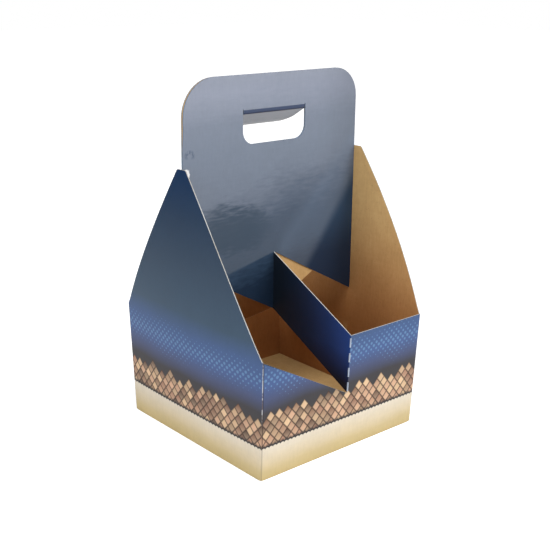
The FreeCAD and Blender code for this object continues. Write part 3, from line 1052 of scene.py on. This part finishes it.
def make_handle_print_and_reflections(name):
    """The handle's glossy print, with its crease and its wear. Its rise from dark low down to light high
    up is partly print and partly painted reflection; its darker and lighter zones are painted reflections
    and painted shade, and the dark line on its crease is painted shade.
    """
    material, tree, shader, spots = start_material(name)
    side, _, height = split(tree, spots)
    drift = noise(tree, spots, 12.0, 3.0, 0.55, (1.0, 1.0, 2.5))
    ripple = noise(tree, spots, 75.0, 2.0, 0.6, (0.9, 1.0, 4.0))
    sway = minus(tree, plus(tree, drift, ripple), 1.0)
    sway = times(tree, sway, remap(tree, height, *CALM_RISE, 0.035, 0.010))
    slope = times(tree, side, remap(tree, height, *CALM_RISE, -0.21, 0.0))
    level = plus(tree, plus(tree, slope, height), sway)
    # Dark low down to light high up: partly the print's own rise, partly a painted reflection of the dark
    # cells below and the pale surroundings above, with a wavy painted edge from sway
    print_with_painted_reflection = ramp(
        tree,
        remap(tree, level, *LEVELS),
        [
            (0.20, (0.010, 0.022, 0.046, 1)),
            (0.29, (0.026, 0.050, 0.090, 1)),
            (0.40, (0.032, 0.058, 0.104, 1)),
            (0.47, (0.058, 0.086, 0.138, 1)),
            (0.52, (0.090, 0.118, 0.172, 1)),
            (0.60, (0.130, 0.162, 0.222, 1)),
            (0.72, (0.148, 0.182, 0.244, 1)),
            (0.80, (0.160, 0.192, 0.256, 1)),
            (0.91, (0.258, 0.286, 0.362, 1)),
            (1.00, (0.282, 0.308, 0.374, 1)),
        ],
    )
    pulp = use_group(tree, FIBRES, {"Vector": spots})
    light = remap(tree, pulp["Mottle"], 0.35, 0.65, 0.95, 1.04)
    # Painted shade: darker towards the right end, beside the right gable
    light = times(tree, light, remap(tree, side, *PAINTED_SHADE_SIDE, 1.0, 0.75, smooth=True))
    colour = dimmed(tree, print_with_painted_reflection, light)

    # Painted reflections: a dark soft patch at the left, and a darker corner at the lower right with a
    # lighter rim, standing for the right gable's reflection
    wide = minus(tree, side, REFLECTED_PATCH_PLACE[0])
    wide = maths(tree, "DIVIDE", wide, REFLECTED_PATCH_SIZE[0])
    high = minus(tree, plus(tree, height, sway), REFLECTED_PATCH_PLACE[1])
    high = maths(tree, "DIVIDE", high, REFLECTED_PATCH_SIZE[1])
    apart = plus(tree, maths(tree, "POWER", wide, 2.0), maths(tree, "POWER", high, 2.0))
    painted_reflection_patch = fade(tree, apart, 0.1, 1.1, 0.86, smooth=True)
    colour = blend(tree, painted_reflection_patch, colour, REFLECTED_PATCH_TINT)
    # Right of a slanting line: a weaker coat, and a pale painted reflection of the surroundings mixed
    # into the colour
    below = minus(tree, plus(tree, side, DULL_REFLECTION_PLACE), height)
    dull_and_painted_reflection = remap(tree, below, -0.030, -0.004, smooth=True)
    dull_and_painted_reflection = times(tree, dull_and_painted_reflection, remap(tree, side, 0.0, 0.012))
    colour = blend(tree, times(tree, dull_and_painted_reflection, 0.145), colour, PAINTED_REFLECTION_TINT)
    # Painted reflection of the right gable: a dark corner at the lower right, lighter higher up
    corner = minus(tree, side, REFLECTION_CORNER_PLACE[0])
    corner = scaled_plus(tree, corner, REFLECTION_CORNER_SLOPE, REFLECTION_CORNER_PLACE[1])
    corner = minus(tree, corner, height)
    corner = remap(tree, corner, -0.006, 0.018, 0.0, 0.9, smooth=True)
    painted_darkness = blend(tree, remap(tree, height, 0.165, 0.205), REFLECTION_LOW_TINT, REFLECTION_HIGH_TINT)
    colour = blend(tree, corner, colour, painted_darkness)

    # Painted shade: a dark line along the crease above the hand hole, where the flap turns back
    crease = maths(tree, "ABSOLUTE", minus(tree, height, FOLD_START * MM))
    crease = fade(tree, crease, *CREASE_SHADE_EDGE)
    within = fade(tree, maths(tree, "ABSOLUTE", side), *CREASE_SHADE_END)
    crease = times(tree, crease, within)
    colour = blend(tree, times(tree, crease, 0.95), colour, tone(10, 40, 80))

    # A scuff and bared board where the handle meets the left gable's peak
    beside = minus(tree, side, SCUFF_PLACE[0])
    above = minus(tree, height, SCUFF_PLACE[1])
    torn = noise(tree, spots, 240.0, 3.0, 0.7)
    ring = scaled_plus(tree, torn, RAGGED, length(tree, join(tree, beside, above)))
    ring = maths(tree, "ABSOLUTE", minus(tree, ring, SCUFF_RADIUS))
    scuff = fade(tree, ring, *SCUFF_EDGE, 0.75)
    scuff = times(tree, scuff, remap(tree, torn, 0.42, 0.56))
    scuff = times(tree, scuff, remap(tree, height, 0.280, 0.284))
    colour = blend(tree, scuff, colour, tone(52, 70, 98))
    bare = fade(tree, scaled_plus(tree, torn, RAGGED, side), *BARED_SIDE)
    reach = maths(tree, "ABSOLUTE", minus(tree, height, BARED_HEIGHT))
    reach = scaled_plus(tree, torn, RAGGED, reach)
    bare = times(tree, bare, fade(tree, reach, *BARED_REACH))
    colour = blend(tree, bare, colour, tone(226, 226, 228))
    inputs = {
        "Base Color": colour,
        "Roughness": remap(tree, pulp["Mottle"], 0.3, 0.7, 0.30, 0.42),
        "Specular IOR Level": 0.1,
        "Coat Weight": remap(tree, dull_and_painted_reflection, 0.0, 1.0, 1.0, 0.15),
        "Coat Roughness": 0.07,
        "Coat IOR": 1.55,
    }
    set_inputs(tree, shader, inputs)
    add_relief(tree, shader, spots, 0.0007, 0.000003)
    return material


# Painted shade for bare board low down in the cells: a darker, redder tint, and the heights over which it
# fades out
PAINTED_SHADE_BROWN = (0.68, 0.46, 0.36, 1)
PAINTED_SHADE_RISE = (0.08, 0.24)


def make_kraft(name, painted_darkness):
    """Bare board. The second argument sets how strongly shade is painted into it: the colour turns darker
    and redder low down in the cells, as painted shade.
    """
    material, tree, shader, spots = start_material(name)
    x, y, z = split(tree, spots)
    pulp = use_group(tree, FIBRES, {"Vector": spots})
    colour = ramp(
        tree,
        pulp["Mottle"],
        [
            (0.25, (0.475, 0.300, 0.125, 1)),
            (0.50, (0.575, 0.375, 0.160, 1)),
            (0.75, (0.660, 0.455, 0.210, 1)),
        ],
    )
    # Painted shade: darker and redder low down in the cells, weaker on the handle's own board but full on
    # the gables
    low = fade(tree, z, *PAINTED_SHADE_RISE, painted_darkness, smooth=True)
    off_handle = remap(tree, maths(tree, "ABSOLUTE", y), 0.002, 0.004, 0.4, 1.0)
    at_end = remap(tree, maths(tree, "ABSOLUTE", x), 0.103, 0.105)
    low = times(tree, low, maths(tree, "MAXIMUM", off_handle, at_end))
    colour = blend(tree, low, colour, PAINTED_SHADE_BROWN, "MULTIPLY")
    colour = blend(tree, times(tree, pulp["Specks"], 0.35), colour, tone(92, 62, 34))
    inputs = {"Base Color": colour, "Roughness": 0.82, "Specular IOR Level": 0.2}
    set_inputs(tree, shader, inputs)
    add_relief(tree, shader, spots, 0.0004, 0.00003)
    return material


def make_cut_edge(name, tint):
    """The board's core, seen where it is cut."""
    material, tree, shader, spots = start_material(name)
    pulp = use_group(tree, FIBRES, {"Vector": spots})
    colour = ramp(
        tree,
        pulp["Mottle"],
        [(0.3, tone(186, 168, 142)), (0.5, tone(212, 200, 180)), (0.7, tone(228, 220, 206))],
    )
    colour = blend(tree, 1.0, colour, (*tint, 1), "MULTIPLY")
    inputs = {"Base Color": colour, "Roughness": 0.9, "Specular IOR Level": 0.15}
    set_inputs(tree, shader, inputs)
    add_relief(tree, shader, spots, 0.0, 0.00004)
    return material


WALL_PRINT_AND_SHADE = make_wall_print_and_shade("print_on_walls_painted_shade")
HANDLE_PRINT_AND_REFLECTIONS = make_handle_print_and_reflections("print_on_handle_painted_reflections")
# The walls' and handle's bare board gets painted shade low in the cells; the floor's gets none
SHADED_KRAFT = make_kraft("bare_kraft", 1.0)
FLOOR_KRAFT = make_kraft("bare_kraft_floor", 0.0)
CUT_EDGE = make_cut_edge("cut_board_edge", (0.72, 0.81, 0.97))
# Painted shade: the handle's cut edges are darkened towards the print's blue
SHADED_HANDLE_EDGE = make_cut_edge("handle_edge_painted_shade", (0.20, 0.34, 0.62))

make_walls([WALL_PRINT_AND_SHADE, SHADED_KRAFT, CUT_EDGE])
make_handle_layer("handle_front", 0, [HANDLE_PRINT_AND_REFLECTIONS, SHADED_KRAFT, SHADED_HANDLE_EDGE])
make_handle_layer("handle_back", 1, [HANDLE_PRINT_AND_REFLECTIONS, SHADED_KRAFT, SHADED_HANDLE_EDGE])
make_finger_flap([HANDLE_PRINT_AND_REFLECTIONS, SHADED_KRAFT, SHADED_HANDLE_EDGE])
make_floor([WALL_PRINT_AND_SHADE, FLOOR_KRAFT, CUT_EDGE])

# Floor, light and camera

SKY_LIGHT = 0.06
SKY_GLOSS = 0.45
STAGE_HALF = 6.0
FLOOR_GREY = 0.66
FLOOR_LIFT = 0.7
OVERHEAD_POWER = 1.7
OVERHEAD_SPREAD = math.radians(40)
OVERHEAD_TILT = math.radians(27)
LIGHT_TARGET = (0.0, 0.0, 0.15)
LIGHTS = [
    ("right_light", (1.2, -2.2, 1.3), 1.2, 36),
    ("left_light", (-2.3, 0.0, 1.3), 1.2, 34),
    ("high_light", (-1.2, -0.6, 2.4), 0.9, 13),
    ("low_light", (-0.4, -2.6, 0.6), 1.2, 7),
]
CAMERA_LENS = 65.304
CAMERA_PLACE = (-621.39, -720.36, 445.88)
CAMERA_TARGET = (-1.51, -5.13, 154.2)
CAMERA_ROLL = math.radians(0.587)

floor_data = bmesh.new()
bmesh.ops.create_grid(floor_data, x_segments=1, y_segments=1, size=STAGE_HALF)
floor_mesh = bpy.data.meshes.new("studio_floor")
floor_data.to_mesh(floor_mesh)
floor_data.free()
floor = bpy.data.objects.new("studio_floor", floor_mesh)
bpy.context.scene.collection.objects.link(floor)
pale = bpy.data.materials.new("studio_floor")
pale.use_nodes = True
from_camera = add_node(pale.node_tree, "ShaderNodeLightPath").outputs["Is Camera Ray"]
pale_inputs = {
    "Base Color": (FLOOR_GREY, FLOOR_GREY, FLOOR_GREY, 1),
    "Roughness": 0.9,
    "Emission Color": (1, 1, 1, 1),
    "Emission Strength": times(pale.node_tree, from_camera, FLOOR_LIFT),
}
set_inputs(pale.node_tree, pale.node_tree.nodes["Principled BSDF"], pale_inputs)
floor_mesh.materials.append(pale)

world = bpy.data.worlds.new("studio")
bpy.context.scene.world = world
world.use_nodes = True
paths = add_node(world.node_tree, "ShaderNodeLightPath").outputs
lit = remap(world.node_tree, paths["Is Glossy Ray"], 0, 1, SKY_LIGHT, SKY_GLOSS)
seen = maths(world.node_tree, "MAXIMUM", lit, paths["Is Camera Ray"])
sky_inputs = {"Color": (1, 1, 1, 1), "Strength": seen}
set_inputs(world.node_tree, world.node_tree.nodes["Background"], sky_inputs)


def add_light(name, place, size, power):
    light = bpy.data.lights.new(name, "AREA")
    light.shape = "SQUARE"
    light.size = size
    light.energy = power
    lamp = bpy.data.objects.new(name, light)
    bpy.context.scene.collection.objects.link(lamp)
    aim = (Vector(LIGHT_TARGET) - Vector(place)).to_track_quat("-Z", "Y")
    lamp.matrix_world = Matrix.Translation(place) @ aim.to_matrix().to_4x4()


overhead = bpy.data.lights.new("overhead_light", "SUN")
overhead.angle = OVERHEAD_SPREAD
overhead.energy = OVERHEAD_POWER
overhead_lamp = bpy.data.objects.new("overhead_light", overhead)
overhead_lamp.matrix_world = Matrix.Rotation(OVERHEAD_TILT, 4, "X")
bpy.context.scene.collection.objects.link(overhead_lamp)
for light_name, light_place, light_size, light_power in LIGHTS:
    add_light(light_name, light_place, light_size, light_power)
bpy.context.scene.view_settings.view_transform = "Standard"

camera_data = bpy.data.cameras.new("camera")
camera_data.lens = CAMERA_LENS
camera = bpy.data.objects.new("camera", camera_data)
bpy.context.scene.collection.objects.link(camera)
camera_spot = Vector(CAMERA_PLACE) * MM
look = Vector(CAMERA_TARGET) * MM - camera_spot
aim = look.to_track_quat("-Z", "Y").to_matrix() @ Matrix.Rotation(CAMERA_ROLL, 3, "Z")
camera.matrix_world = Matrix.Translation(camera_spot) @ aim.to_4x4()
bpy.context.scene.camera = camera
